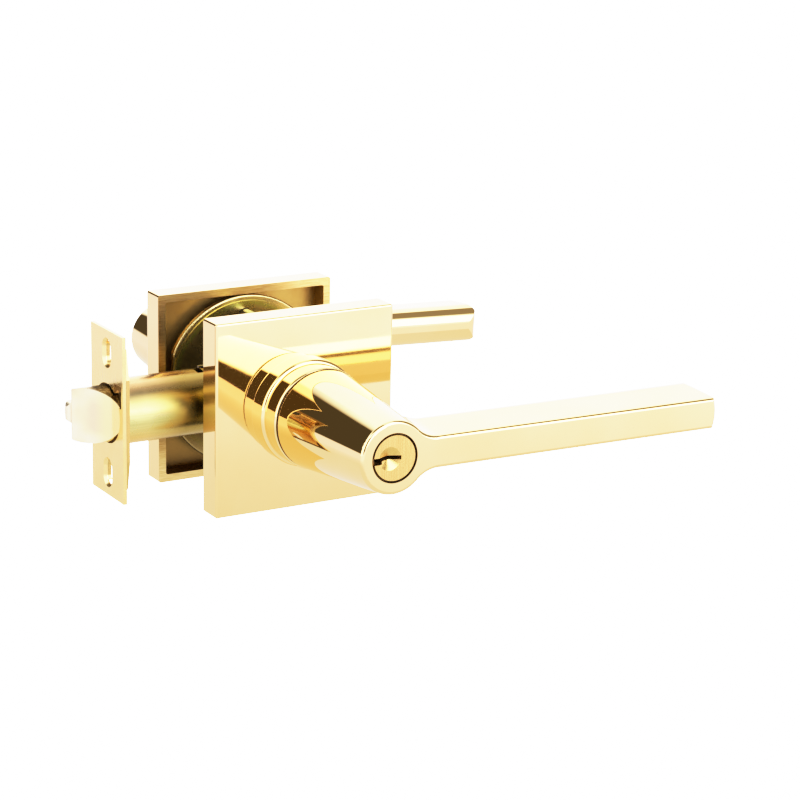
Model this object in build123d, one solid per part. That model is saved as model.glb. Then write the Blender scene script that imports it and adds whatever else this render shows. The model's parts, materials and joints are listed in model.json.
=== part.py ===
"""Lever handle lockset: tubular keyed-entry latch with a square rose and a lever on each side.

Millimetres.  Origin: where the spindle axis (Y) crosses the latch axis (X), half way through the door.
+Z is up, the keyed side faces -Y, the latchbolt points to -X and both levers point to +X.
Pieces that exist on both sides are drawn on the +Y side and mirrored for the keyed side.
"""

from build123d import *
import math
import os

os.makedirs("parts", exist_ok=True)

OUTSIDE = -1
INSIDE = 1

# ---- door and roses ------------------------------------------------------------------------------
DOOR = 34.9
BACKSET = 60.3
DOOR_FACE = DOOR / 2
ROSE_SIDE = 66.7
ROSE_THICK = 9.5
ROSE_WALL = 2.7
ROSE_SKIN = 2.5
ROSE_EDGE_R = 0.8
ROSE_FACE = DOOR_FACE + ROSE_THICK
RECESS_FLOOR = ROSE_FACE - ROSE_SKIN
ROSE_HOLE_R = 16.6

# ---- collar: two stacked rings fixed in the rose -------------------------------------------------
COLLAR_NECK_R = 16.5
COLLAR_BIG_R = 18.5
COLLAR_SMALL_R = 17.5
COLLAR_STEP = ROSE_FACE + 4.0
COLLAR_END = 38.5
COLLAR_RIM_R = 1.1
COLLAR_LIP = 1.4
SHANK_R = 13.0
RUNNING = 0.07

# ---- mounting plates and spring cages inside the roses -------------------------------------------
PLATE_R = 30.2
PLATE_FLAT = 27.6
PLATE_DOOR_SIDE = DOOR_FACE + 0.15
PLATE_THICK = 1.8
PLATE_DISH_R = 25.4
PLATE_DISH = 0.8
PLATE_GROOVE_R = 28.2
PLATE_GROOVE = 0.35
PLATE_BACK = PLATE_DOOR_SIDE + PLATE_THICK
CAGE_R = 18.6
CAGE_WALL = 1.2
CAGE_END = RECESS_FLOOR - 0.25
SPRING_COIL_R = 15.5
SPRING_WIRE_R = 0.7
SPRING_TURNS = 1.75

# ---- through fixing ------------------------------------------------------------------------------
FIXING_Z = 23.5
POST_R = 3.0
POST_REACH = 8.0
BOLT_R = 1.9
BOLT_HEAD_R = 3.4
BOLT_HEAD = 2.2
BOLT_TIP = -10.0
GRUB_R = 1.5
GRUB_Y = PLATE_BACK - PLATE_THICK / 2 + 0.6

# ---- lever ---------------------------------------------------------------------------------------
LEVER_FRONT = 87.0
LEVER_BASE = 39.3
CONE_BASE_R = 17.1
CONE_FRONT_R = 12.2
LEVER_SAG = {OUTSIDE: 0.6, INSIDE: 2.5}
ARM_TIP = 126.2
ARM_FRONT_HALF = 5.35
ARM_BACK_HALF = {OUTSIDE: 7.0, INSIDE: 8.0}
ARM_BACK = 66.1
ARM_ROUND = {OUTSIDE: 4.6, INSIDE: 6.0}
ARM_BLEND_R = 11.0
ARM_CROWN_R = 16.0
ARM_TIP_CORNER = {OUTSIDE: 2.5, INSIDE: 3.5}
ARM_TIP_BACK_CORNER = 4.5
FRONT_EDGE_R = 1.2
CATCH_Y = 45.0
CATCH_R = 1.6
SET_SCREW_R = 1.65
CATCH_TOP = -9.3
CATCH_END = -16.1
CORE_HOLE_R = 8.25
CAVITY_R = 12.6
CAVITY_END = 59.0

# ---- lock cylinder -------------------------------------------------------------------------------
CYLINDER_R = 8.15
CYLINDER_FRONT = 85.0
PLUG_R = 6.5
PLUG_FACE_R = 7.5
PLUG_FACE = 86.9
PLUG_TAIL = 56.2
CHAMBER_X = 12.3
CHAMBER_HALF = 3.2
CHAMBER_FRONT = 83.0
PIN_COUNT = 5
PIN_PITCH = 4.0
PIN_FIRST = 81.0
PIN_R = 1.38
PIN_HOLE_R = 1.45
SHEAR_X = PLUG_R + 0.1
KEYWAY_END_X = 2.4
KEYWAY_THICK = 1.3
KEYWAY_WIDE_X = -4.4
DIMPLE_X = -1.8
DIMPLE_R = 3.9
DIMPLE_DEEP = 1.7

# ---- spindle and lock rod ------------------------------------------------------------------------
SPINDLE = 8.0
SPINDLE_FIT = 0.05
SPINDLE_REACH = 36.0
ROD_R = 2.4
ROD_SQUARE = 3.3
ROD_END = 60.5

# ---- latch ---------------------------------------------------------------------------------------
THROW = 11.4
BOLT_OUT = 11.1
FACE_W = 25.4
FACE_H = 57.15
FACE_THICK = 1.3
BACK_H = 48.0
BACK_END_W = 21.6
BACK_SQUARE_H = 28.0
BACK_THICK = 1.2
SCREW_SPACING = 41.3
SLOT_W = 5.2
SLOT_H = 8.5
COUNTERSINK = 0.9
FACE_X = -BACKSET
BACK_X = FACE_X + FACE_THICK
TUBE_X = BACK_X + BACK_THICK
TUBE_END = -26.0
TUBE_R = 11.1
TUBE_BORE = 10.3
FACE_HOLE_R = 10.2
BUSH_END = -51.0
NOTCH_Y = (-11.4, -6.0)
NOTCH_Z = (4.0, 11.6)
BOLT_BODY_R = 9.5
BOLT_FLAT_Y = 4.2
BOLT_LAND = 0.8
BOLT_HEEL = 1.8
BOLT_REAR = -48.0
BAR_FRONT = -54.0
BOLT_PIN_X = -51.0
BOLT_PIN_R = 1.2
PLUNGER_TIP = FACE_X - BOLT_OUT - 0.9
PLUNGER_REAR = -53.0
PLUNGER_HALF = 3.6
CASE_X = TUBE_END + 1.2
CASE_IN = 3.6
CASE_OUT = 4.8
CASE_TOP = 17.0
JOURNAL_R = 6.4
FINGER_HALF = 1.3
FINGER_REACH = 15.3
FINGER_Y = 1.6
LEVER_SWING = 45.0
FORK_IN = 1.9
FORK_OUT = 3.1
FORK_PIN_R = 1.4
FORK_PIN_Z = THROW / 2 / math.tan(math.radians(LEVER_SWING / 2))
FORK_PIN_GAP = 0.08
BAR_HALF_Z = 5.2
WINDOW_LEFT = -JOURNAL_R - THROW - 1.3
BOLT_SPRING_Y = -6.7
PLUNGER_SPRING_Y = 6.9


# ---- drawing helpers -----------------------------------------------------------------------------
def disc(radius, y0, y1, x=0.0, z=0.0):
    """Solid cylinder along Y."""
    return Pos(x, (y0 + y1) / 2, z) * Rot(90, 0, 0) * Cylinder(radius, y1 - y0)


def rod_x(radius, x0, x1, y=0.0, z=0.0):
    """Solid cylinder along X."""
    return Pos((x0 + x1) / 2, y, z) * Rot(0, 90, 0) * Cylinder(radius, x1 - x0)


def rod_z(radius, z0, z1, x=0.0, y=0.0):
    """Solid cylinder along Z."""
    return Pos(x, y, (z0 + z1) / 2) * Cylinder(radius, z1 - z0)


def block(x0, x1, y0, y1, z0, z1):
    """Box between two corners."""
    centre = Pos((x0 + x1) / 2, (y0 + y1) / 2, (z0 + z1) / 2)
    return centre * Box(x1 - x0, y1 - y0, z1 - z0)


def plate_y(points, y0, y1):
    """Flat plate with an outline in X and Z, from y0 to y1."""
    outline = make_face(Polyline([(x, -z) for x, z in points], close=True))
    plane = Plane(origin=(0, y0, 0), x_dir=(1, 0, 0), z_dir=(0, 1, 0))
    return extrude(plane * outline, amount=y1 - y0)


def edges_at_y(shape, y):
    """Edges that lie wholly in the plane at y."""
    return [e for e in shape.edges() if abs(e.center().Y - y) < 1e-3 and e.bounding_box().size.Y < 1e-3]


def facing_x(face, x):
    """A face drawn in Y and Z, placed square to X."""
    return Plane(origin=(x, 0, 0), x_dir=(0, 1, 0), z_dir=(1, 0, 0)) * face


def coil(radius, wire, length, turns):
    """Round-wire helical spring along Z from 0 to length, measured over the wire."""
    rise = length - 2 * wire
    path = Helix(pitch=rise / turns, height=rise, radius=radius)
    section = Plane(origin=path @ 0, z_dir=path % 0) * Circle(wire)
    return Pos(0, 0, wire) * sweep(section, path=path, is_frenet=True)


def on_side(shape, side):
    """A piece drawn on the inside is mirrored for the keyed side."""
    if side == INSIDE:
        return shape
    return mirror(shape, about=Plane.XZ)


def sagged(shape, side):
    """Turned down about the spindle axis by the play in that side's lever."""
    return Rot(0, LEVER_SAG[side], 0) * shape


def save(name, shape):
    """Writes one node."""
    shape.label = name
    export_step(shape, f"parts/{name}.step")


# ---- rose group ----------------------------------------------------------------------------------
def rose():
    half = ROSE_SIDE / 2
    inner = half - ROSE_WALL
    body = block(-half, half, DOOR_FACE, ROSE_FACE, -half, half)
    body = fillet([e for e in body.edges() if e.center().Y > DOOR_FACE + 0.01], ROSE_EDGE_R)
    recess = block(-inner, inner, DOOR_FACE - 1, RECESS_FLOOR, -inner, inner)
    recess = fillet(recess.edges().filter_by(Axis.Y), 0.8)
    grub_hole = rod_z(GRUB_R + 0.05, -half - 1, -inner + 1, y=GRUB_Y)
    return body - recess - disc(ROSE_HOLE_R, DOOR_FACE, ROSE_FACE + 1) - grub_hole


def rose_set_screw():
    head = 0.3 - ROSE_SIDE / 2
    screw = rod_z(GRUB_R, head, -PLATE_R - 0.05, y=GRUB_Y)
    socket = Pos(0, GRUB_Y, head) * extrude(RegularPolygon(0.8, 6), amount=1.4)
    return screw - socket


def collar():
    big = disc(COLLAR_BIG_R, ROSE_FACE, COLLAR_STEP)
    big = fillet(edges_at_y(big, COLLAR_STEP), COLLAR_RIM_R)
    small = disc(COLLAR_SMALL_R, ROSE_FACE, COLLAR_END)
    small = fillet(edges_at_y(small, COLLAR_END), COLLAR_RIM_R)
    neck = disc(COLLAR_NECK_R, RECESS_FLOOR, ROSE_FACE)
    lip = disc(SHANK_R + COLLAR_LIP + 1.2, COLLAR_END - 1, COLLAR_END + 1)
    lip -= disc(SHANK_R + 1.2, COLLAR_END - 2, COLLAR_END + 2)
    bore = disc(SHANK_R + RUNNING, RECESS_FLOOR - 1, COLLAR_END + 1)
    return big + small + neck - bore - lip


def mounting_plate():
    body = disc(PLATE_R, PLATE_DOOR_SIDE, PLATE_BACK)
    body = fillet(edges_at_y(body, PLATE_DOOR_SIDE), 0.7)
    groove = disc(PLATE_GROOVE_R + 0.6, 0, PLATE_DOOR_SIDE + PLATE_GROOVE)
    body -= groove - disc(PLATE_GROOVE_R, 0, 40)
    body = body & block(-PLATE_FLAT, PLATE_FLAT, 0, 40, -40, 40)
    body -= disc(PLATE_DISH_R, PLATE_DOOR_SIDE - 1, PLATE_DOOR_SIDE + PLATE_DISH)
    body -= disc(SHANK_R + 0.6, 0, 40)
    for z in (-FIXING_Z, FIXING_Z):
        body -= disc(BOLT_R + 0.3, 0, 40, z=z)
    return body


def spring_cage():
    cup = disc(CAGE_R, PLATE_BACK, CAGE_END)
    cup = fillet(edges_at_y(cup, CAGE_END), 0.8)
    chamber = disc(CAGE_R - CAGE_WALL, PLATE_BACK - 1, CAGE_END - CAGE_WALL)
    return cup - chamber - disc(SHANK_R + 0.3, 0, 40)


def return_spring():
    length = CAGE_END - CAGE_WALL - PLATE_BACK - 0.5
    spring = coil(SPRING_COIL_R, SPRING_WIRE_R, length, SPRING_TURNS)
    return Pos(0, PLATE_BACK + 0.25, 0) * Rot(-90, 0, 0) * spring


# ---- fixing through the door ---------------------------------------------------------------------
def mounting_posts():
    posts = []
    for z in (-FIXING_Z, FIXING_Z):
        post = disc(POST_R, -PLATE_DOOR_SIDE, POST_REACH, z=z)
        post = chamfer(edges_at_y(post, POST_REACH), 0.4)
        posts.append(post - disc(BOLT_R + RUNNING, -14, POST_REACH + 1, z=z))
    return Compound(children=posts)


def through_bolts():
    bolts = []
    for z in (-FIXING_Z, FIXING_Z):
        head = disc(BOLT_HEAD_R, PLATE_BACK, PLATE_BACK + BOLT_HEAD, z=z)
        head = fillet(edges_at_y(head, PLATE_BACK + BOLT_HEAD), 0.9)
        shank = disc(BOLT_R, BOLT_TIP, PLATE_BACK, z=z)
        top = PLATE_BACK + BOLT_HEAD
        cross = block(-2.0, 2.0, top - 1.1, top + 1, z - 0.35, z + 0.35)
        cross += block(-0.35, 0.35, top - 1.1, top + 1, z - 2.0, z + 2.0)
        bolts.append(head + shank - cross)
    return Compound(children=bolts)


# ---- lever ---------------------------------------------------------------------------------------
def arm(side):
    """Straight arm: a little taller at the back, where its long edges are rounded."""
    corners = [(ARM_BACK, -ARM_BACK_HALF[side]), (LEVER_FRONT, -ARM_FRONT_HALF)]
    corners += [(LEVER_FRONT, ARM_FRONT_HALF), (ARM_BACK, ARM_BACK_HALF[side])]
    face = make_face(Polyline(corners, close=True))
    face = fillet([v for v in face.vertices() if v.X < ARM_BACK + 1], ARM_ROUND[side])
    return extrude(facing_x(face, 0), amount=ARM_TIP)


def arm_end(side):
    """Everything inside the arm's end: crowned as seen from the front, cornered as seen from above."""
    half = ARM_BACK_HALF[side] + 0.1
    drop = ARM_CROWN_R - math.sqrt(ARM_CROWN_R**2 - half**2)
    top = (ARM_TIP - drop, half)
    bottom = (ARM_TIP - drop, -half)
    outline = Polyline(top, (0, half), (0, -half), bottom) + ThreePointArc(bottom, (ARM_TIP, 0), top)
    crown = make_face(outline)
    crown = fillet([v for v in crown.vertices() if v.X > 1], ARM_TIP_CORNER[side])
    plan = make_face(Polyline([(0, ARM_BACK), (ARM_TIP, ARM_BACK), (ARM_TIP, 100), (0, 100)], close=True))
    plan = fillet([v for v in plan.vertices() if v.X > 1 and v.Y < 99], ARM_TIP_BACK_CORNER)
    bar = extrude(Plane.XZ * crown, amount=100, both=True) & extrude(plan, amount=20, both=True)
    return bar + block(-30, 60, 0, 100, -30, 30)


def lever_outer(side):
    """Cone hub with the arm blended into it."""
    height = LEVER_FRONT - LEVER_BASE
    cone = Pos(0, LEVER_BASE + height / 2, 0) * Rot(-90, 0, 0) * Cone(CONE_BASE_R, CONE_FRONT_R, height)
    body = cone + arm(side)
    root_edges = []
    for edge in body.edges():
        c = edge.center()
        if 8 < c.X < 16 and 60 < c.Y < LEVER_FRONT - 0.01 and edge.length > 0.2:
            root_edges.append(edge)
    body = fillet(root_edges, ARM_BLEND_R)
    body = body & arm_end(side)
    body = fillet(edges_at_y(body, LEVER_FRONT), FRONT_EDGE_R)
    return fillet(edges_at_y(body, LEVER_BASE), 0.4)


def lever(side):
    body = lever_outer(side)
    body -= disc(CAVITY_R, LEVER_BASE - 1, CAVITY_END)
    return body - disc(CORE_HOLE_R, CAVITY_END - 1, LEVER_FRONT + 1)


def catch_hole(radius, top):
    return rod_z(radius, -20, top, y=CATCH_Y)


def outside_lever():
    slot = CHAMBER_HALF + 0.4
    body = lever(OUTSIDE) - block(0, CHAMBER_X + 0.15, CAVITY_END - 1, CHAMBER_FRONT + 0.2, -slot, slot)
    return sagged(body - catch_hole(CATCH_R + 0.05, 1 - CAVITY_R), OUTSIDE)


def inside_lever():
    return sagged(lever(INSIDE) - catch_hole(SET_SCREW_R + 0.4, 1 - CAVITY_R), INSIDE)


def lever_shank(side):
    """Sleeve that turns in the collar, carries the lever and takes the spindle."""
    body = disc(SHANK_R, PLATE_DOOR_SIDE + 0.6, LEVER_BASE)
    body += disc(CAVITY_R - 0.05, LEVER_BASE, CAVITY_END - 0.2)
    body -= disc(4.6, 0, CAVITY_END)
    socket = SPINDLE / 2 + SPINDLE_FIT
    body -= block(-socket, socket, 0, SPINDLE_REACH + 0.3, -socket, socket)
    body -= disc(CORE_HOLE_R, PLUG_TAIL - 0.4, CAVITY_END)
    groove = disc(SHANK_R + 1, PLATE_BACK + 0.2, PLATE_BACK + 1.3) - disc(12.0, 0, 40)
    return body - groove - sagged(catch_hole(CATCH_R + 0.1, CATCH_TOP + 0.3), side)


def shank_circlip():
    """Open ring in the shank groove that stops the lever pulling out of the rose."""
    y0 = PLATE_BACK + 0.25
    ring = disc(14.1, y0, y0 + 1.0) - disc(12.05, 0, 40)
    gap = block(-2.2, 2.2, 0, 40, 0, 20)
    return ring - gap


def lever_catch():
    return sagged(rod_z(CATCH_R, CATCH_END, CATCH_TOP, y=CATCH_Y), OUTSIDE)


def lever_set_screw():
    screw = rod_z(SET_SCREW_R, CATCH_END, CATCH_TOP, y=CATCH_Y)
    socket = Pos(0, CATCH_Y, CATCH_END) * extrude(RegularPolygon(0.9, 6), amount=2.0)
    return sagged(screw - socket, INSIDE)


# ---- lock cylinder in the keyed lever ------------------------------------------------------------
def pin_rows():
    return [PIN_FIRST - PIN_PITCH * i for i in range(PIN_COUNT)]


def cylinder_body():
    body = disc(CYLINDER_R, CAVITY_END, CYLINDER_FRONT)
    body += block(0, CHAMBER_X, CAVITY_END, CHAMBER_FRONT, -CHAMBER_HALF, CHAMBER_HALF)
    body -= disc(PLUG_R + RUNNING, 0, 100)
    for y in pin_rows():
        body -= rod_x(PIN_HOLE_R, PLUG_R - 1, CHAMBER_X + 1, y=y)
    cover = block(CHAMBER_X - 0.8, CHAMBER_X + 1, CAVITY_END + 2, CHAMBER_FRONT + 1, -2.0, 2.0)
    return body - cover


def pin_chamber_cover():
    return block(CHAMBER_X - 0.8, CHAMBER_X, CAVITY_END + 2.05, CHAMBER_FRONT, -1.95, 1.95)


def key_plug():
    body = disc(PLUG_R, PLUG_TAIL, CYLINDER_FRONT + 0.1)
    body += disc(PLUG_FACE_R, CYLINDER_FRONT + 0.1, PLUG_FACE)
    half = KEYWAY_THICK / 2
    body -= block(-PLUG_FACE_R - 1, KEYWAY_END_X, 62, 100, -half, half)
    body -= block(-PLUG_FACE_R - 1, KEYWAY_WIDE_X, 62, 100, -1.6, half)
    dimple = Cone(0.5, DIMPLE_R, DIMPLE_DEEP)
    body -= Pos(DIMPLE_X, PLUG_FACE - DIMPLE_DEEP / 2 + 1e-3, 0) * Rot(-90, 0, 0) * dimple
    for y in pin_rows():
        body -= rod_x(PIN_HOLE_R, 0, PLUG_R + 1, y=y)
    body -= disc(PLUG_R + 1, PLUG_TAIL + 1.3, PLUG_TAIL + 2.3) - disc(5.6, 0, 100)
    socket = ROD_SQUARE / 2 + 0.05
    return body - block(-socket, socket, 0, ROD_END + 0.1, -socket, socket)


def plug_clip():
    ring = disc(7.6, PLUG_TAIL + 1.35, PLUG_TAIL + 2.25) - disc(5.65, 0, 100)
    return ring - block(-8, 0, 0, 100, -3.2, 3.2)


def key_pins():
    pins = []
    for i, y in enumerate(pin_rows()):
        low = 1.2 + 0.35 * ((i * 2) % PIN_COUNT)
        shaft = rod_x(PIN_R, low + 0.7, SHEAR_X - 0.3, y=y)
        nose = Pos(low + 0.35, y, 0) * Rot(0, 90, 0) * Cone(0.5, PIN_R, 0.7)
        pins.append(shaft + nose)
    return Compound(children=pins)


def driver_pins():
    return Compound(children=[rod_x(PIN_R, SHEAR_X + 0.05, SHEAR_X + 2.4, y=y) for y in pin_rows()])


def pin_springs():
    start = SHEAR_X + 2.45
    length = CHAMBER_X - 0.85 - start
    spring = coil(1.05, 0.16, length, 4)
    return Compound(children=[Pos(start, y, 0) * Rot(0, 90, 0) * spring for y in pin_rows()])


# ---- thumb turn in the inside lever --------------------------------------------------------------
def button_sleeve():
    body = disc(CYLINDER_R, CAVITY_END, CYLINDER_FRONT)
    return body - disc(4.0 + RUNNING, 0, 100)


def turn_button():
    stem = disc(4.0, PLUG_TAIL, CYLINDER_FRONT + 0.1)
    face = disc(PLUG_FACE_R, CYLINDER_FRONT + 0.1, PLUG_FACE)
    face = chamfer(edges_at_y(face, PLUG_FACE), 0.3)
    grip = block(-6.4, 6.4, PLUG_FACE - 0.5, PLUG_FACE + 3.6, -1.5, 1.5)
    grip = fillet(grip.edges().filter_by(Axis.Y), 1.2)
    grip = fillet(edges_at_y(grip, PLUG_FACE + 3.6), 0.6)
    socket = ROD_SQUARE / 2 + 0.05
    return stem + face + grip - block(-socket, socket, 0, ROD_END + 0.1, -socket, socket)


def button_clip():
    ring = disc(6.4, PLUG_TAIL + 1.35, PLUG_TAIL + 2.25) - disc(4.05, 0, 100)
    return ring - block(-8, 0, 0, 100, -2.2, 2.2)


# ---- spindle group -------------------------------------------------------------------------------
def spindle():
    half = SPINDLE / 2
    bar = block(-half, half, -SPINDLE_REACH, SPINDLE_REACH, -half, half)
    bar = chamfer(bar.edges().filter_by(Axis.Y), 0.3)
    return bar - disc(ROD_R + RUNNING, -SPINDLE_REACH - 1, SPINDLE_REACH + 1)


def lock_rod():
    half = ROD_SQUARE / 2
    return disc(ROD_R, -50, 50) + block(-half, half, -ROD_END, ROD_END, -half, half)


def latch_cam():
    """Hub on the spindle with the finger that draws the bolt back."""
    hub = disc(JOURNAL_R, -CASE_OUT, CASE_OUT) + disc(7.2, -FINGER_Y, FINGER_Y)
    arm = block(-FINGER_HALF, FINGER_HALF, -FINGER_Y, FINGER_Y, 0, FINGER_REACH)
    tip_edges = [e for e in arm.edges().filter_by(Axis.Y) if e.center().Z > 1]
    arm = fillet(tip_edges, FINGER_HALF - 0.1)
    arm = Rot(0, -LEVER_SWING / 2, 0) * arm
    socket = SPINDLE / 2 + SPINDLE_FIT
    return hub + arm - block(-socket, socket, -10, 10, -socket, socket)


# ---- latch front ---------------------------------------------------------------------------------
def screw_slots(x0, x1):
    """Two upright slots for the faceplate screws."""
    cutters = []
    for z in (-SCREW_SPACING / 2, SCREW_SPACING / 2):
        run = (SLOT_H - SLOT_W) / 2
        slot = block(x0, x1, -SLOT_W / 2, SLOT_W / 2, z - run, z + run)
        slot += rod_x(SLOT_W / 2, x0, x1, z=z - run) + rod_x(SLOT_W / 2, x0, x1, z=z + run)
        cutters.append(slot)
    return cutters


def latch_faceplate():
    body = block(FACE_X, BACK_X, -FACE_W / 2, FACE_W / 2, -FACE_H / 2, FACE_H / 2)
    body -= rod_x(FACE_HOLE_R, FACE_X - 1, BACK_X + 1)
    body -= block(FACE_X - 1, BACK_X + 1, *NOTCH_Y, *NOTCH_Z)
    for slot in screw_slots(FACE_X - 1, BACK_X + 1):
        body -= slot
    rims = []
    for edge in body.edges():
        c = edge.center()
        on_front = abs(c.X - FACE_X) < 1e-3 and edge.bounding_box().size.X < 1e-3
        if on_front and 14 < abs(c.Z) < 26 and abs(c.Y) < 4:
            rims.append(edge)
    return chamfer(rims, COUNTERSINK)


def latch_backplate():
    """Stiffening plate behind the faceplate, tapered towards both ends, with the tube through it."""
    half = FACE_W / 2
    sides = [(half, -BACK_SQUARE_H / 2), (half, BACK_SQUARE_H / 2), (BACK_END_W / 2, BACK_H / 2)]
    corners = sides + [(-y, z) for y, z in reversed(sides)]
    corners += [(-BACK_END_W / 2, -BACK_H / 2), (BACK_END_W / 2, -BACK_H / 2)]
    body = extrude(facing_x(make_face(Polyline(corners, close=True)), BACK_X), amount=BACK_THICK)
    body -= rod_x(TUBE_R + 0.05, BACK_X - 1, TUBE_X + 1)
    for slot in screw_slots(BACK_X - 1, TUBE_X + 1):
        body -= slot
    return body


def latch_tube():
    body = rod_x(TUBE_R, BACK_X, TUBE_END) - rod_x(TUBE_BORE, BACK_X - 1, TUBE_END + 1)
    notch = block(TUBE_END - 2.4, TUBE_END + 1, -3.0, 1.5, 8, 12)
    return body - notch


def bolt_guide_bush():
    return rod_x(TUBE_BORE - 0.05, BACK_X, BUSH_END) - rod_x(BOLT_BODY_R + 0.1, BACK_X - 1, -50)


def latch_end_plate():
    body = rod_x(TUBE_R, TUBE_END, CASE_X)
    return body - block(TUBE_END - 1, CASE_X + 1, -3.4, 3.4, -BAR_HALF_Z - 0.4, BAR_HALF_Z + 0.4)


# ---- latch case ----------------------------------------------------------------------------------
RIVETS = [(-11.0, -14.6), (-11.0, 14.6), (15.0, -13.2), (15.0, 13.2)]


def latch_case_plate(side):
    upper = [(CASE_X, 11), (-17, 11), (-13, CASE_TOP), (14, CASE_TOP), (23.5, 11)]
    lower = [(x, -z) for x, z in reversed(upper)]
    y0, y1 = sorted((side * CASE_IN, side * CASE_OUT))
    body = plate_y(upper + lower, y0, y1)
    body -= disc(JOURNAL_R + RUNNING, -10, 10)
    for x, z in RIVETS:
        body -= disc(1.45, -10, 10, x=x, z=z)
    return body


def latch_case_rivets():
    rivets = []
    for x, z in RIVETS:
        shank = disc(1.4, -CASE_OUT, CASE_OUT, x=x, z=z)
        shank += disc(2.0, -CASE_IN, CASE_IN, x=x, z=z)
        shank += disc(2.1, CASE_OUT, CASE_OUT + 0.6, x=x, z=z)
        shank += disc(2.1, -CASE_OUT - 0.6, -CASE_OUT, x=x, z=z)
        rivets.append(shank)
    return Compound(children=rivets)


# ---- bolt, bar and deadlatch plunger -------------------------------------------------------------
def latchbolt():
    """Half-round bolt, bevelled towards the keyed side, with a slot for its bar at the rear."""
    tip = FACE_X - BOLT_OUT
    body = rod_x(BOLT_BODY_R, tip, BOLT_REAR)
    body = body & block(tip - 1, BOLT_REAR + 1, -12, BOLT_FLAT_Y, -12, 12)
    nose_y = BOLT_FLAT_Y - BOLT_LAND
    heel_x = FACE_X + BOLT_HEEL
    slope = [(tip, nose_y), (heel_x, -BOLT_BODY_R - 0.1)]
    outside = [(heel_x, -14), (tip - 8, -14), (tip - 8, nose_y)]
    body -= extrude(make_face(Polyline(slope + outside, close=True)), amount=20, both=True)
    wide = FORK_OUT + 0.05
    tall = BAR_HALF_Z + 0.05
    body -= block(BAR_FRONT - 0.05, BOLT_REAR + 1, -wide, wide, -tall, tall)
    return body - disc(BOLT_PIN_R + 0.1, -12, 12, x=BOLT_PIN_X)


def bolt_bar():
    """Bar from the bolt, forked round the hub, with lugs for the cross pin."""
    body = block(BAR_FRONT, WINDOW_LEFT, -FORK_OUT, FORK_OUT, -BAR_HALF_Z, BAR_HALF_Z)
    pin_x = fork_pin_x()
    for y0, y1 in ((-FORK_OUT, -FORK_IN), (FORK_IN, FORK_OUT)):
        right = JOURNAL_R + 0.4
        fork = block(WINDOW_LEFT - 2.6, right + 3, y0, y1, -9.8, 9.8)
        fork -= block(WINDOW_LEFT, right, -10, 10, -JOURNAL_R - 0.4, JOURNAL_R + 0.4)
        fork += block(pin_x - 2.8, pin_x + 2.8, y0, y1, 9, 13.6)
        fork += disc(2.8, y0, y1, x=pin_x, z=FORK_PIN_Z - 0.9)
        body += fork
    body -= disc(BOLT_PIN_R + 0.05, -12, 12, x=BOLT_PIN_X)
    return body - disc(FORK_PIN_R + 0.02, -12, 12, x=pin_x, z=FORK_PIN_Z)


def fork_pin_x():
    """Rest place of the cross pin, just clear of the finger's flank."""
    lean = math.radians(LEVER_SWING / 2)
    reach = FINGER_HALF + FORK_PIN_R + FORK_PIN_GAP
    return (reach - FORK_PIN_Z * math.sin(lean)) / math.cos(lean)


def fork_pin():
    return disc(FORK_PIN_R, -FORK_OUT, FORK_OUT, x=fork_pin_x(), z=FORK_PIN_Z)


def bolt_pin():
    return disc(BOLT_PIN_R, -8.4, BOLT_FLAT_Y, x=BOLT_PIN_X)


def deadlatch_plunger():
    body = rod_x(9.2, PLUNGER_TIP, PLUNGER_REAR)
    body = body & block(PLUNGER_TIP, PLUNGER_REAR, BOLT_FLAT_Y + 0.25, 12, -PLUNGER_HALF, PLUNGER_HALF)
    tip_edges = [e for e in body.edges() if abs(e.center().X - PLUNGER_TIP) < 1e-3]
    return fillet(tip_edges, 2.0)


def bolt_spring():
    length = TUBE_END - 0.05 - BOLT_REAR
    return Pos(BOLT_REAR, BOLT_SPRING_Y, 0) * Rot(0, 90, 0) * coil(2.4, 0.4, length, 9)


def plunger_spring():
    length = TUBE_END - 0.05 - PLUNGER_REAR
    return Pos(PLUNGER_REAR, PLUNGER_SPRING_Y, 0) * Rot(0, 90, 0) * coil(1.6, 0.3, length, 9)


# ---- write every node ----------------------------------------------------------------------------
def write_side(prefix, side):
    save(f"{prefix}_rose", on_side(rose(), side))
    save(f"{prefix}_rose_screw", on_side(rose_set_screw(), side))
    save(f"{prefix}_collar", on_side(collar(), side))
    save(f"{prefix}_mounting_plate", on_side(mounting_plate(), side))
    save(f"{prefix}_spring_cage", on_side(spring_cage(), side))
    save(f"{prefix}_return_spring", on_side(return_spring(), side))
    save(f"{prefix}_lever_shank", on_side(lever_shank(side), side))
    save(f"{prefix}_shank_circlip", on_side(shank_circlip(), side))


write_side("outside", OUTSIDE)
write_side("inside", INSIDE)

for name, build in (
    ("outside_lever", outside_lever),
    ("outside_lever_catch", lever_catch),
    ("cylinder_body", cylinder_body),
    ("pin_chamber_cover", pin_chamber_cover),
    ("key_plug", key_plug),
    ("plug_clip", plug_clip),
    ("key_pins", key_pins),
    ("driver_pins", driver_pins),
    ("pin_springs", pin_springs),
):
    save(name, on_side(build(), OUTSIDE))

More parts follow.
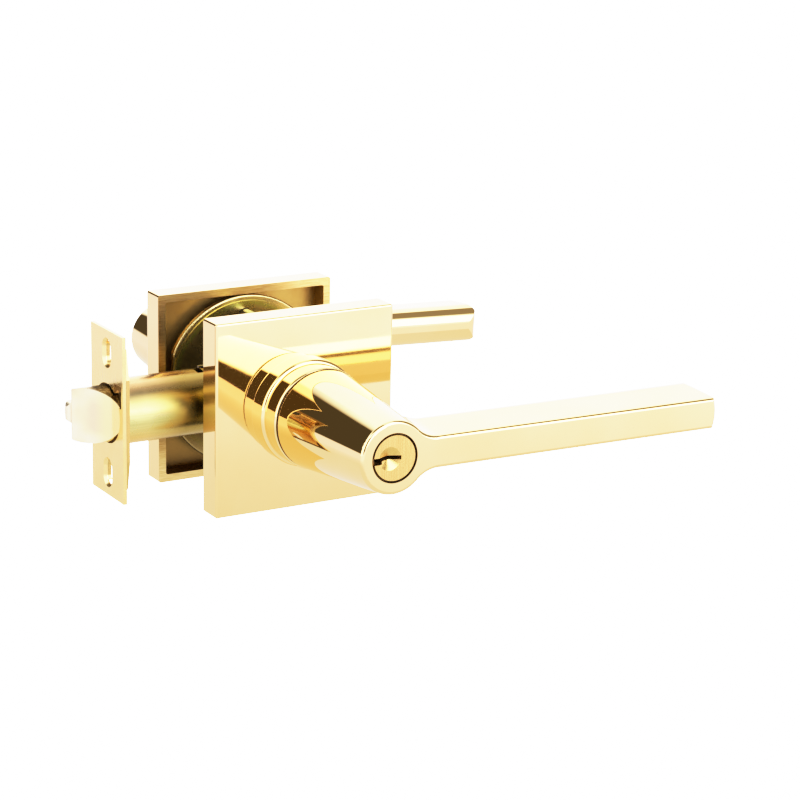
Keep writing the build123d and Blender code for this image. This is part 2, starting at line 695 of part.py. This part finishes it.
for name, build in (
    ("inside_lever", inside_lever),
    ("inside_lever_screw", lever_set_screw),
    ("button_sleeve", button_sleeve),
    ("turn_button", turn_button),
    ("button_clip", button_clip),
    ("mounting_posts", mounting_posts),
    ("through_bolts", through_bolts),
    ("spindle", spindle),
    ("lock_rod", lock_rod),
    ("latch_cam", latch_cam),
    ("latch_faceplate", latch_faceplate),
    ("latch_backplate", latch_backplate),
    ("latch_tube", latch_tube),
    ("bolt_guide_bush", bolt_guide_bush),
    ("latch_end_plate", latch_end_plate),
    ("latch_case_rivets", latch_case_rivets),
    ("latchbolt", latchbolt),
    ("bolt_bar", bolt_bar),
    ("fork_pin", fork_pin),
    ("bolt_pin", bolt_pin),
    ("deadlatch_plunger", deadlatch_plunger),
    ("bolt_spring", bolt_spring),
    ("plunger_spring", plunger_spring),
):
    save(name, build())

save("latch_case_outside_plate", latch_case_plate(OUTSIDE))
save("latch_case_inside_plate", latch_case_plate(INSIDE))
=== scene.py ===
import bpy
import json
import math
from mathutils import Matrix, Vector


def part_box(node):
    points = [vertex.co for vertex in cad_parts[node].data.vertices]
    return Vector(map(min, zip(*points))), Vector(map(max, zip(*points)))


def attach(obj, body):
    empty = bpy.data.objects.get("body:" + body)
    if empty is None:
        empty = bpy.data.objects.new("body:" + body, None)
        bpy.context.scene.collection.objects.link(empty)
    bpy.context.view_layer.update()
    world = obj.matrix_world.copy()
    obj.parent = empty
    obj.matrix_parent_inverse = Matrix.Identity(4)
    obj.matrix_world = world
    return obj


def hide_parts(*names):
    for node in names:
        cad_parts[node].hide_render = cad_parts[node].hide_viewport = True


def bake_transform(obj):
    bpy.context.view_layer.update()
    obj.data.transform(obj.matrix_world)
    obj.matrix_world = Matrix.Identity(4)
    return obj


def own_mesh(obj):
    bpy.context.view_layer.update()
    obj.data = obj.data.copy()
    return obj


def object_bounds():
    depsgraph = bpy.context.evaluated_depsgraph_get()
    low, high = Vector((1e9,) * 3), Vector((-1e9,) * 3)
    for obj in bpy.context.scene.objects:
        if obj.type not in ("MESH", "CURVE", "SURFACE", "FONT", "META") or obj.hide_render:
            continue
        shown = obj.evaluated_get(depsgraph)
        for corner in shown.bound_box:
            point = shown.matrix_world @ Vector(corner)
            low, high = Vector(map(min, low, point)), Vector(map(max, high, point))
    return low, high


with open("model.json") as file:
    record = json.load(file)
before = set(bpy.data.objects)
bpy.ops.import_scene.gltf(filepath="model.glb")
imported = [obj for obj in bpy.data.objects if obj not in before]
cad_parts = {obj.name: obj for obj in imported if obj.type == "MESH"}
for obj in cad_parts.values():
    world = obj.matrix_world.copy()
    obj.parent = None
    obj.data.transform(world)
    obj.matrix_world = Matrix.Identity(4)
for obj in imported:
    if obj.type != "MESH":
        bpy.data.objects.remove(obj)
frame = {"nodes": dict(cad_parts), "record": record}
cad_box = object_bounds()

MM = 0.001

# ---- camera: a long lens, left of the keyed face and a little above it ------------------------
CAM_AZIMUTH = math.radians(-30.45)
CAM_ELEVATION = math.radians(15.88)
CAM_ROLL = math.radians(1.19)
CAM_DISTANCE = 0.8959
CAM_ASIDE = 0.04522
CAM_BELOW = 0.00301
CAM_LENS_MM = 117.28

# ---- studio -----------------------------------------------------------------------------------
FLOOR_DROP = 0.09
FLOOR_SIZE = 8.0
FLOOR_NEAR = 0.28
FLOOR_FAR = 0.62
BACKGROUND = 4.0
TENT_FRONT = 2.7
TENT_BACK = 2.4
# The floor's glow is lower near the object: a painted shadow.
FLOOR_GLOW_NEAR = 1.05
FLOOR_GLOW_FRONT = 1.65
FLOOR_GLOW_BACK = 1.3
# Cards round the tent: first and last azimuth, lowest and highest elevation and softness, all in
# degrees, and brightness. Azimuth 0 is straight out from the keyed face, and +90 is the way that
# the levers point.
CARDS = (
    (-190, 190, 56, 95, 12, 1.6),      # top of the tent
    (-176, -118, -2, 42, 4, 0.095),    # dark, behind on the left
    (-12, 42, -2, 48, 6, 5.0),         # bright, in front on the right
    (-50, -12.5, -6, 36, 2.5, 0.105),  # dark, about the camera
    (-150, 10, 54, 95, 14, 0.3),       # dim, overhead on the left
    (45, 108, 4, 66, 8, 0.36),         # dim, past the levers' tips
)
CARD_TINT = (1.0, 0.76, 0.4)
TENT_TINT = (1.0, 0.985, 0.955)
FLOOR_TINT_NEAR = (1.0, 0.99, 0.92)
FLOOR_TINT_FAR = (1.0, 0.95, 1.08)
WHITE = (1.0, 1.0, 1.0)
# Scene brightness and the brightness that it is shown at: a soft shoulder above one.
SHOULDER = ((0.0, 0.0), (0.16, 0.135), (0.32, 0.31), (0.6, 0.6), (0.8, 0.74), (0.95, 0.83),
            (1.1, 0.89), (1.3, 0.925), (1.6, 0.948), (2.0, 0.965), (3.0, 0.99), (4.0, 1.0))


# ---- zones of the CAD pieces, by their places in the frame ------------------------------------
SKIN = 0.02 * MM
DOOR_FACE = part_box("inside_rose")[0][1]
RECESS_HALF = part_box("inside_rose")[1][0] - 2.67 * MM
RECESS_DEEP = DOOR_FACE + 7.03 * MM
CORE_HOLE_R = 8.29 * MM
CYLINDER_FRONT = -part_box("cylinder_body")[0][1]
GAP_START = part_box("inside_collar")[1][1] - 0.2 * MM
GAP_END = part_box("inside_lever")[0][1] + 0.12 * MM
BACKPLATE_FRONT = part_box("latch_backplate")[0][0]
LATCH_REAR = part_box("latch_end_plate")[1][0] + 0.05 * MM
TUBE_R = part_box("latch_tube")[1][2]
TUBE_INSIDE_R = 10.28 * MM
TUBE_DARKENS_FROM = BACKPLATE_FRONT + 9.0 * MM
TUBE_DARKENS_TO = BACKPLATE_FRONT + 23.0 * MM
BOLT_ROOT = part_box("latch_faceplate")[0][0] - 0.7 * MM
BOLT_FLANK_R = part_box("latchbolt")[1][2] - 0.15 * MM
HOLE_WALL_R = BOLT_FLANK_R + 0.9 * MM
PLATE_FILM_FROM = 23.0 * MM
PLATE_FILM_TO = 30.0 * MM

# ---- metal tints: one colour, or stops of a ramp ----------------------------------------------
POLISHED = (0.97, 0.695, 0.33)
POLISHED_PALE = (0.975, 0.72, 0.36)
CAST = ((0.3, (0.48, 0.30, 0.09)), (0.7, (0.64, 0.43, 0.14)))
CAST_LOW = (0.22, 0.12, 0.03)
MILLED = ((0.3, (0.66, 0.43, 0.16)), (0.7, (0.94, 0.69, 0.32)))
# Painted shade for the gap between collar and lever and for the lever's bore.
GAP_SHADE = (0.14, 0.08, 0.03)
PLATED = (0.95, 0.69, 0.29)
PLATED_PALE = (0.97, 0.73, 0.34)
PLATED_GRAIN = (0.78, 0.54, 0.24)
BACKPLATE_GOLD = (0.72, 0.47, 0.18)
RUBBED = ((0.38, (0.80, 0.68, 0.49)), (0.5, (0.93, 0.80, 0.56)), (0.64, (0.99, 0.88, 0.70)))
RUBBED_YELLOW = (0.92, 0.80, 0.42)
# Painted shade on the backplate's face in the notch and beside the bolt's upper flank.
LATCH_SHADE = (0.13, 0.075, 0.02)
BRUSHED = ((0.25, (0.72, 0.45, 0.15)), (0.7, (0.86, 0.58, 0.22)))
# Painted shade for what lies behind the cylinder's front.
BRUSHED_IN_SHADE = (0.20, 0.12, 0.045)
# Tube colours by height: real film tints, plus a painted highlight (pale yellow-green, about the
# middle) and a painted reflection of the dark cards (dark olive, above the middle).
TUBE_FILM_AND_REFLECTIONS = ((0.0, (0.88, 0.54, 0.15)), (0.15, (0.90, 0.57, 0.20)), (0.32, (0.84, 0.70, 0.30)),
             (0.46, (0.82, 0.78, 0.34)), (0.6, (0.60, 0.50, 0.18)), (0.72, (0.38, 0.30, 0.12)),
             (0.82, (0.32, 0.25, 0.14)), (0.96, (0.78, 0.47, 0.23)))
TUBE_DARK_REAR = (0.28, 0.19, 0.03)
PLATE_FILM = ((0.0, (0.36, 0.27, 0.10)), (0.35, (0.44, 0.34, 0.12)), (0.55, (0.50, 0.50, 0.12)),
              (0.75, (0.68, 0.56, 0.22)), (1.0, (0.86, 0.68, 0.32)))
PLATE_LOW = (0.20, 0.13, 0.05)
ZINC_GRAIN = (0.42, 0.32, 0.12)
# Painted shade for the inside of the latch tube.
TUBE_BORE_SHADE = (0.16, 0.10, 0.03)
BRIGHT_STEEL = (0.66, 0.63, 0.58)
BRIGHT_TARNISH = (0.50, 0.46, 0.40)
OILED_STEEL = (0.42, 0.41, 0.40)
OILED_TARNISH = (0.28, 0.25, 0.22)

# ---- latch springs, remade as coils of wire ---------------------------------------------------
SPRING_TURNS = 9
STEPS_PER_TURN = 28
WIRE_SIDES = 10
BOLT_WIRE_R = 0.4 * MM
PLUNGER_WIRE_R = 0.3 * MM


def camera_axes():
    """Right, up and back of the camera, rolled about its line of sight."""
    flat = math.cos(CAM_ELEVATION)
    rise = math.sin(CAM_ELEVATION)
    back = Vector((math.sin(CAM_AZIMUTH) * flat, -math.cos(CAM_AZIMUTH) * flat, rise))
    right = Vector((math.cos(CAM_AZIMUTH), math.sin(CAM_AZIMUTH), 0.0))
    up = back.cross(right)
    c, s = math.cos(CAM_ROLL), math.sin(CAM_ROLL)
    return c * right + s * up, c * up - s * right, back


def add_camera():
    right, up, back = camera_axes()
    data = bpy.data.cameras.new("camera")
    data.lens = CAM_LENS_MM
    data.sensor_width = 36.0
    data.clip_start = 0.01
    camera = bpy.data.objects.new("camera", data)
    place = right * CAM_ASIDE - up * CAM_BELOW + back * CAM_DISTANCE
    turn = Matrix((right, up, back)).transposed()
    camera.matrix_world = Matrix.Translation(place) @ turn.to_4x4()
    bpy.context.scene.collection.objects.link(camera)
    bpy.context.scene.camera = camera


# ---- node helpers -----------------------------------------------------------------------------
class Graph:
    """A node tree with short calls to add nodes and join them."""

    def __init__(self, tree):
        self.tree = tree
        tree.nodes.clear()

    def add(self, kind, inputs=None, **settings):
        made = self.tree.nodes.new(kind)
        for name, value in settings.items():
            setattr(made, name, value)
        for name, value in (inputs or {}).items():
            self.put(made.inputs[name], value)
        return made

    def put(self, socket, value):
        if isinstance(value, bpy.types.NodeSocket):
            self.tree.links.new(value, socket)
        elif isinstance(value, tuple) and len(value) == 3 and socket.type == "RGBA":
            socket.default_value = (*value, 1.0)
        else:
            socket.default_value = value

    def math(self, operation, a, b=0.0, clamp=False):
        made = self.add("ShaderNodeMath", operation=operation, use_clamp=clamp)
        self.put(made.inputs[0], a)
        self.put(made.inputs[1], b)
        return made.outputs[0]

    def both(self, a, b):
        """Product of two masks, which are one inside and nought outside."""
        return self.math("MULTIPLY", a, b)

    def either(self, a, b):
        return self.math("MAXIMUM", a, b)

    def under(self, value, limit):
        return self.math("LESS_THAN", value, limit)

    def over(self, value, limit):
        return self.math("GREATER_THAN", value, limit)

    def size(self, value):
        """The value without its sign."""
        return self.math("ABSOLUTE", value)

    def hypotenuse(self, a, b):
        squares = self.math("ADD", self.math("MULTIPLY", a, a), self.math("MULTIPLY", b, b))
        return self.math("SQRT", squares)

    def separate(self, vector):
        return self.add("ShaderNodeSeparateXYZ", {"Vector": vector}).outputs

    def noise(self, vector, scale, detail=3.0, roughness=0.5):
        inputs = {"Vector": vector, "Scale": scale, "Detail": detail, "Roughness": roughness}
        return self.add("ShaderNodeTexNoise", inputs).outputs["Fac"]

    def stretch(self, vector, scale, turn=(0.0, 0.0, 0.0)):
        inputs = {"Vector": vector, "Scale": scale, "Rotation": turn}
        return self.add("ShaderNodeMapping", inputs).outputs[0]

    def remap(self, value, low, high, new_low=0.0, new_high=1.0):
        inputs = {"Value": value, "From Min": low, "From Max": high,
                  "To Min": new_low, "To Max": new_high}
        return self.add("ShaderNodeMapRange", inputs).outputs["Result"]

    def window(self, value, low, high, soft):
        """One between low and high, fading to nought over soft on each side."""
        rise = self.remap(value, low - soft / 2, low + soft / 2)
        fall = self.remap(value, high - soft / 2, high + soft / 2, 1.0, 0.0)
        return self.both(rise, fall)

    def ramp(self, value, stops):
        made = self.add("ShaderNodeValToRGB", {"Fac": value})
        bar = made.color_ramp
        for i, (place, colour) in enumerate(stops):
            stop = bar.elements[i] if i < 2 else bar.elements.new(place)
            stop.position = place
            stop.color = (*colour, 1.0)
        return made.outputs["Color"]

    def mix(self, factor, a, b):
        made = self.add("ShaderNodeMix", data_type="RGBA")
        self.put(made.inputs["Factor"], factor)
        self.put(made.inputs[6], a)
        self.put(made.inputs[7], b)
        return made.outputs[2]

    def blend(self, factor, a, b):
        made = self.add("ShaderNodeMix", data_type="FLOAT")
        self.put(made.inputs["Factor"], factor)
        self.put(made.inputs[2], a)
        self.put(made.inputs[3], b)
        return made.outputs[0]

    def bump(self, height, strength, distance):
        inputs = {"Height": height, "Strength": strength, "Distance": distance}
        return self.add("ShaderNodeBump", inputs).outputs[0]


def material(name):
    made = bpy.data.materials.new(name)
    made.use_nodes = True
    return made, Graph(made.node_tree)


def surface(graph, **inputs):
    """A principled shader whose inputs are given with underscores for spaces."""
    named = {name.replace("_", " "): value for name, value in inputs.items()}
    shader = graph.add("ShaderNodeBsdfPrincipled", named)
    graph.add("ShaderNodeOutputMaterial", {"Surface": shader.outputs[0]})


def object_coordinates(graph):
    return graph.add("ShaderNodeTexCoord").outputs["Object"]


def brushed(graph, at, fine, long_axis):
    """Fine grain drawn out along one axis (0, 1 or 2)."""
    scale = [fine, fine, fine]
    scale[long_axis] = fine / 40
    return graph.noise(graph.stretch(at, tuple(scale)), 1.0, 4.0, 0.65)


# ---- materials --------------------------------------------------------------------------------
def polished_brass():
    """Mirror-polished brass; the rose recess is left cast and its rim is milled; the gap between
    collar and lever and the lever's bore are rougher and darkened with painted shade.
    """
    made, g = material("polished_brass")
    at = object_coordinates(g)
    x, y, z = g.separate(at)
    away = g.size(y)
    rim = g.under(away, DOOR_FACE + SKIN)
    across = g.either(g.size(x), g.size(z))
    recess = g.both(g.under(across, RECESS_HALF), g.under(away, RECESS_DEEP))
    bore = g.both(g.under(g.hypotenuse(x, z), CORE_HOLE_R), g.over(away, 2 * DOOR_FACE))
    gap = g.both(g.over(away, GAP_START), g.under(away, GAP_END))
    # Painted shade: the lever's bore and the gap between collar and lever are darkened and made
    # rougher.
    painted_gap_shade = g.either(bore, gap)

    cloud = g.noise(at, 45.0, 4.0)
    polished = g.mix(g.remap(cloud, 0.35, 0.65), POLISHED, POLISHED_PALE)
    cast = g.ramp(g.noise(at, 60.0, 6.0, 0.6), CAST)
    cast = g.mix(g.remap(z, -8 * MM, -26 * MM, 0.0, 0.6), cast, CAST_LOW)
    marks = g.noise(g.stretch(at, (260.0, 260.0, 5200.0), (0.0, math.radians(52), 0.0)), 1.0, 3.0, 0.6)
    colour = g.mix(recess, polished, cast)
    colour = g.mix(rim, colour, g.ramp(marks, MILLED))
    colour = g.mix(painted_gap_shade, colour, GAP_SHADE)

    smudge = g.remap(g.noise(at, 28.0, 5.0, 0.6), 0.45, 0.75, 0.022, 0.075)
    hairs = g.remap(brushed(g, at, 1500.0, 0), 0.55, 0.8, 0.0, 0.03)
    rough = g.math("ADD", smudge, hairs)
    rough = g.blend(recess, rough, 0.42)
    rough = g.blend(rim, rough, 0.3)
    rough = g.blend(painted_gap_shade, rough, 0.6)
    wave = g.bump(g.noise(at, 55.0, 2.0), 0.05, 0.2 * MM)
    surface(g, Base_Color=colour, Metallic=1.0, Roughness=rough, Normal=wave)
    return made


def bolt_satin(graph, at, x):
    """Rubbed faces of the bolt: pale and cloudy, yellower towards the faceplate."""
    satin = graph.ramp(graph.noise(at, 85.0, 2.0, 0.4), RUBBED)
    near_plate = graph.remap(x, BOLT_ROOT - 5 * MM, BOLT_ROOT - 2 * MM, 0.0, 0.8)
    return graph.mix(near_plate, satin, RUBBED_YELLOW)


def latch_painted_shade(graph, at, x, y, z):
    """Painted shade on the backplate's face, which shows in the notch, and on the bolt's upper flank
    next to the hole's wall.
    """
    face = graph.window(x, BACKPLATE_FRONT - 2 * SKIN, BACKPLATE_FRONT + 2 * SKIN, SKIN)
    flank = graph.window(graph.hypotenuse(y, z), BOLT_FLANK_R, HOLE_WALL_R, SKIN)
    flank = graph.both(flank, graph.remap(z, 2 * MM, 4 * MM))
    flank = graph.both(flank, graph.remap(x, BOLT_ROOT - 9 * MM, BOLT_ROOT - 4 * MM))
    streaks = graph.noise(graph.stretch(at, (900.0, 2600.0, 2600.0)), 1.0, 3.0, 0.6)
    return graph.either(face, graph.both(flank, graph.remap(streaks, 0.45, 0.65, 0.95, 0.55)))


def plated_latch_brass():
    """Pale bright plating over stamped steel, with a faint upright grain."""
    made, g = material("plated_latch_brass")
    at = object_coordinates(g)
    grain = brushed(g, at, 2600.0, 2)
    cloud = g.noise(at, 120.0, 5.0, 0.6)
    colour = g.mix(g.remap(cloud, 0.3, 0.7), PLATED, PLATED_PALE)
    colour = g.mix(g.remap(grain, 0.62, 0.8, 0.0, 0.25), colour, PLATED_GRAIN)
    x, y, z = g.separate(at)
    proud = g.remap(x, BOLT_ROOT, BOLT_ROOT - 1 * MM)
    colour = g.mix(g.both(proud, 0.85), colour, bolt_satin(g, at, x))
    colour = g.mix(g.over(x, BACKPLATE_FRONT - 1.5 * SKIN), colour, BACKPLATE_GOLD)
    # Painted shade in the notch and over the bolt.
    colour = g.mix(latch_painted_shade(g, at, x, y, z), colour, LATCH_SHADE)
    rough = g.math("ADD", g.remap(cloud, 0.3, 0.7, 0.13, 0.24), g.remap(grain, 0.3, 0.7, 0.0, 0.08))
    rough = g.math("ADD", rough, g.both(proud, 0.16))
    skin = g.bump(grain, 0.06, 0.05 * MM)
    surface(g, Base_Color=colour, Metallic=1.0, Roughness=rough, Normal=skin)
    return made


def satin_brass():
    """Machined brass with upright brush lines; what lies behind the cylinder's front is rougher and
    darkened with painted shade.
    """
    made, g = material("satin_brass")
    at = object_coordinates(g)
    deep = g.under(g.size(g.separate(at)[1]), CYLINDER_FRONT + SKIN)
    grain = brushed(g, at, 3200.0, 2)
    # Painted shade: everything deeper than the cylinder's front is darkened.
    colour = g.mix(deep, g.ramp(grain, BRUSHED), BRUSHED_IN_SHADE)
    rough = g.blend(deep, g.remap(grain, 0.3, 0.7, 0.2, 0.36), 0.6)
    lines = g.bump(grain, 0.12, 0.05 * MM)
    surface(g, Base_Color=colour, Metallic=1.0, Roughness=rough, Normal=lines)
    return made


def tube_film_and_reflections(graph, x, z, drift):
    """Film colours on the latch tube from below to above, with a painted highlight and a painted
    reflection of the dark cards, darker brown towards the rear.
    """
    height = graph.remap(z, -TUBE_R, TUBE_R)
    film = graph.math("ADD", graph.remap(drift, 0.3, 0.7, -0.06, 0.06), height, clamp=True)
    # The tube turns darker brown towards the rear.
    darker_rear = graph.remap(x, TUBE_DARKENS_FROM, TUBE_DARKENS_TO, 0.0, 0.8)
    return graph.mix(darker_rear, graph.ramp(film, TUBE_FILM_AND_REFLECTIONS), TUBE_DARK_REAR)


def plate_film(graph, x, z, drift):
    """Film on the mounting plates, from the hole to the rim, browner low down."""
    spread = graph.remap(graph.hypotenuse(x, z), PLATE_FILM_FROM, PLATE_FILM_TO)
    ring = graph.math("ADD", spread, graph.remap(drift, 0.3, 0.7, -0.15, 0.15), clamp=True)
    low = graph.remap(z, 4 * MM, -14 * MM, 0.0, 0.8)
    return graph.mix(low, graph.ramp(ring, PLATE_FILM), PLATE_LOW)


def yellow_zinc_steel():
    """Yellow zinc plating: brushed steel under a film that drifts from orange to yellow and brown; on
    the tube the film's colours also carry a painted highlight and a painted reflection, and the tube's
    bore is darkened with painted shade.
    """
    made, g = material("yellow_zinc_steel")
    at = object_coordinates(g)
    x, y, z = g.separate(at)
    drift = g.noise(g.stretch(at, (26.0, 60.0, 60.0)), 1.0, 4.0, 0.6)
    latch = g.both(g.under(x, LATCH_REAR), g.under(g.size(y), DOOR_FACE))
    colour = g.mix(latch, plate_film(g, x, z, drift), tube_film_and_reflections(g, x, z, drift))
    grain = brushed(g, at, 1800.0, 0)
    colour = g.mix(g.remap(grain, 0.35, 0.8, 0.0, 0.35), colour, ZINC_GRAIN)
    # Painted shade: the tube's bore is darkened.
    inside = g.both(g.under(g.hypotenuse(y, z), TUBE_INSIDE_R), latch)
    colour = g.mix(inside, colour, TUBE_BORE_SHADE)
    rough = g.remap(g.noise(at, 90.0, 5.0), 0.3, 0.7, 0.2, 0.36)
    lines = g.bump(grain, 0.1, 0.05 * MM)
    surface(g, Base_Color=colour, Metallic=1.0, Roughness=rough, Normal=lines)
    return made


def steel(name, colour, dark, roughness):
    """Zinc-plated or oiled steel with fine grain and a little tarnish."""
    made, g = material(name)
    at = object_coordinates(g)
    grain = brushed(g, at, 2200.0, 1)
    tarnish = g.noise(at, 140.0, 5.0, 0.6)
    shade = g.mix(g.remap(tarnish, 0.35, 0.75), colour, dark)
    rough = g.math("ADD", g.remap(tarnish, 0.3, 0.7, 0.7 * roughness, 1.3 * roughness),
                   g.remap(grain, 0.4, 0.8, 0.0, 0.1))
    lines = g.bump(grain, 0.08, 0.05 * MM)
    surface(g, Base_Color=shade, Metallic=1.0, Roughness=rough, Normal=lines)
    return made


# ---- springs ----------------------------------------------------------------------------------
def wire_ring(centre, outward, radius):
    """Points round a wire's section, in the plane of its outward direction and the x axis."""
    along = Vector((1.0, 0.0, 0.0))
    ring = []
    for side in range(WIRE_SIDES):
        angle = 2 * math.pi * side / WIRE_SIDES
        ring.append(centre + radius * (math.cos(angle) * outward + math.sin(angle) * along))
    return ring


def compression_spring(name, node, wire):
    """A coil with closed ends that fills the node's box and stands for the node."""
    low, high = Vector(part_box(node)[0]), Vector(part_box(node)[1])
    middle = (low + high) / 2
    mean_r = (high.y - low.y) / 2 - wire
    pitch = (high.x - low.x - 6 * wire) / (SPRING_TURNS - 2)
    points = []
    for step in range(SPRING_TURNS * STEPS_PER_TURN + 1):
        turn = step / STEPS_PER_TURN
        closed = min(turn, 1.0) + max(turn - SPRING_TURNS + 1, 0.0)
        along = low.x + wire + 2 * wire * closed + pitch * (turn - closed)
        outward = Vector((0.0, math.cos(2 * math.pi * turn), math.sin(2 * math.pi * turn)))
        points += wire_ring(Vector((along, middle.y, middle.z)) + mean_r * outward, outward, wire)
    last_ring = len(points) - WIRE_SIDES
    faces = [tuple(range(WIRE_SIDES)), tuple(range(len(points) - 1, last_ring - 1, -1))]
    for first in range(0, last_ring, WIRE_SIDES):
        for side in range(WIRE_SIDES):
            near, far = first + side, first + (side + 1) % WIRE_SIDES
            faces.append((near, near + WIRE_SIDES, far + WIRE_SIDES, far))
    mesh = bpy.data.meshes.new(name)
    mesh.from_pydata(points, [], faces)
    mesh.shade_smooth()
    piece = bpy.data.objects.new(name, mesh)
    bpy.context.scene.collection.objects.link(piece)
    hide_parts(node)
    return piece


def add_latch_springs(finish):
    """Coils for the bolt's spring, held with the lock frame, and for the plunger's spring."""
    bolt = compression_spring("bolt_coil", "bolt_spring", BOLT_WIRE_R)
    plunger = compression_spring("plunger_coil", "plunger_spring", PLUNGER_WIRE_R)
    for piece in (bolt, plunger):
        piece.data.materials.append(finish)
    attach(bolt, "lock_frame")
    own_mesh(bolt)
    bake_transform(plunger)


def assign(slot, made):
    """Give a finish to every CAD piece of a slot."""
    for entry in frame["record"]["subparts"]:
        if entry["material_slot"] == slot:
            piece = frame["nodes"][entry["node"]]
            piece.data.materials.clear()
            piece.data.materials.append(made)


# ---- light, floor and backdrop ----------------------------------------------------------------
def light_world():
    """A white tent, brightest behind the object, with dark cards and an open top."""
    world = bpy.data.worlds.new("studio")
    world.use_nodes = True
    bpy.context.scene.world = world
    g = Graph(world.node_tree)
    x, y, z = g.separate(g.add("ShaderNodeTexCoord").outputs["Generated"])
    azimuth = g.math("ARCTAN2", x, g.math("MULTIPLY", y, -1.0))
    elevation = g.math("ARCSINE", z)
    strength = g.remap(y, -0.2, 0.5, TENT_FRONT, TENT_BACK)
    for first, last, low, high, soft, bright in CARDS:
        sides = g.window(azimuth, math.radians(first), math.radians(last), math.radians(soft))
        ends = g.window(elevation, math.radians(low), math.radians(high), math.radians(soft))
        strength = g.blend(g.both(sides, ends), strength, bright)
    tint = g.mix(g.remap(strength, 0.0, 0.6), CARD_TINT, TENT_TINT)
    lit = g.add("ShaderNodeBackground", {"Color": tint, "Strength": strength})
    seen = g.add("ShaderNodeBackground", {"Color": WHITE, "Strength": BACKGROUND})
    camera = g.add("ShaderNodeLightPath").outputs["Is Camera Ray"]
    chosen = g.add("ShaderNodeMixShader", {0: camera, 1: lit.outputs[0], 2: seen.outputs[0]})
    g.add("ShaderNodeOutputWorld", {"Surface": chosen.outputs[0]})


def add_floor():
    """A pale floor that glows instead of being lit, a little darker and warmer under the object, which
    is a painted shadow, and that the camera sees as white.
    """
    low = cad_box[0][2] - FLOOR_DROP
    bpy.ops.mesh.primitive_plane_add(size=FLOOR_SIZE, location=(0.0, 0.0, low))
    floor = bpy.context.object
    floor.name = "floor"
    made, g = material("floor")
    at = object_coordinates(g)
    away = g.add("ShaderNodeVectorMath", {0: at}, operation="LENGTH").outputs["Value"]
    tints = ((0.0, FLOOR_TINT_NEAR), (1.0, FLOOR_TINT_FAR))
    tone = g.ramp(g.remap(away, FLOOR_NEAR, FLOOR_FAR), tints)
    far = g.remap(g.separate(at)[1], -0.5, 0.3, FLOOR_GLOW_FRONT, FLOOR_GLOW_BACK)
    glow = g.remap(away, FLOOR_NEAR, FLOOR_FAR, FLOOR_GLOW_NEAR, far)
    floor_glow_with_painted_shadow = g.add("ShaderNodeEmission", {"Color": tone, "Strength": glow})
    seen = g.add("ShaderNodeEmission", {"Color": WHITE, "Strength": BACKGROUND})
    camera = g.add("ShaderNodeLightPath").outputs["Is Camera Ray"]
    chosen = g.add("ShaderNodeMixShader", {0: camera, 1: floor_glow_with_painted_shadow.outputs[0], 2: seen.outputs[0]})
    g.add("ShaderNodeOutputMaterial", {"Surface": chosen.outputs[0]})
    floor.data.materials.append(made)


def set_view():
    """Plain sRGB with a soft shoulder for the brightest reflections."""
    view = bpy.context.scene.view_settings
    view.view_transform = "Standard"
    view.look = "None"
    view.exposure = 0.0
    view.use_curve_mapping = True
    shape = view.curve_mapping
    white = SHOULDER[-1][0]
    shape.white_level = (white, white, white)
    points = shape.curves[3].points
    for i, (bright, shown) in enumerate(SHOULDER):
        place = (bright / white, shown)
        if i == 0:
            points[0].location = place
        elif i == len(SHOULDER) - 1:
            points[-1].location = place
        else:
            points.new(*place)
    shape.update()


set_view()
add_camera()
light_world()
add_floor()
assign("polished_brass", polished_brass())
assign("plated_latch_brass", plated_latch_brass())
assign("satin_brass", satin_brass())
assign("yellow_zinc_steel", yellow_zinc_steel())
assign("bright_steel", steel("bright_steel", BRIGHT_STEEL, BRIGHT_TARNISH, 0.26))
spring_finish = steel("spring_steel", OILED_STEEL, OILED_TARNISH, 0.3)
assign("spring_steel", spring_finish)
add_latch_springs(spring_finish)
